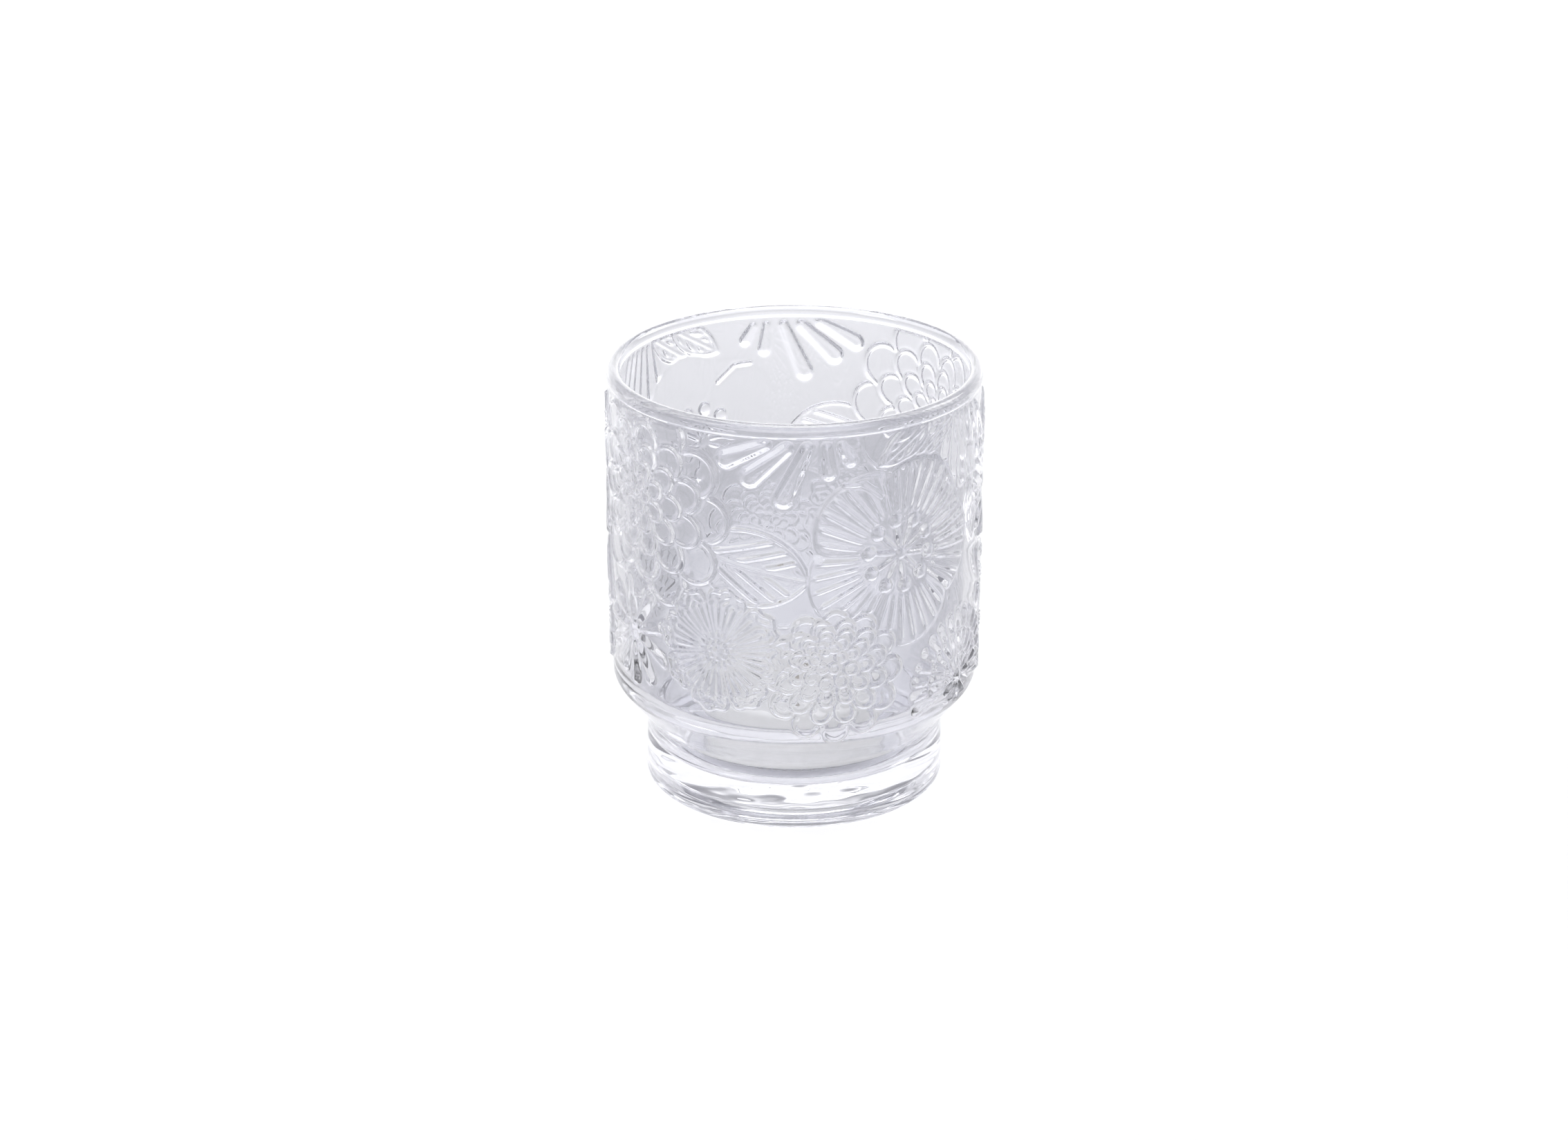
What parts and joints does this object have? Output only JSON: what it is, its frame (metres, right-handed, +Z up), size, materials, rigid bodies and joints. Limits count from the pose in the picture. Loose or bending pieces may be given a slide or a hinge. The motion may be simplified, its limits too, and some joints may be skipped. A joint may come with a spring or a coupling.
{
  "type": "tealight holder",
  "caption": "Clear pressed-glass tealight holder with flower relief, slanted shoulder and short foot, with a lift-out tealight.",
  "frame": {"origin": "centre of the standing ring under the foot, on the surface that the holder stands on", "axes": "+Z up along the axis of the glass; -Y is the side whose relief shows in the usual view"},
  "size_m": [0.0758, 0.0758, 0.088],
  "materials": {
    "clear_glass": "fire polished, clear",
    "clear_cup": "clear, glossy",
    "white_wax": "smooth, waxy",
    "sustainer_metal": "stamped, tin plated",
    "cotton_wick": "braided cotton"
  },
  "bodies": {
    "holder": {"glass_holder": "clear_glass"},
    "tealight": {"tealight_cup": "clear_cup", "tealight_wax": "white_wax", "wick_sustainer": "sustainer_metal", "wick": "cotton_wick"}
  },
  "joints": [
    {"name": "tealight_lift", "type": "slide", "parent": "holder", "child": "tealight", "axis": [0, 0, 1], "range_m": [0, 0.085]}
  ]
}
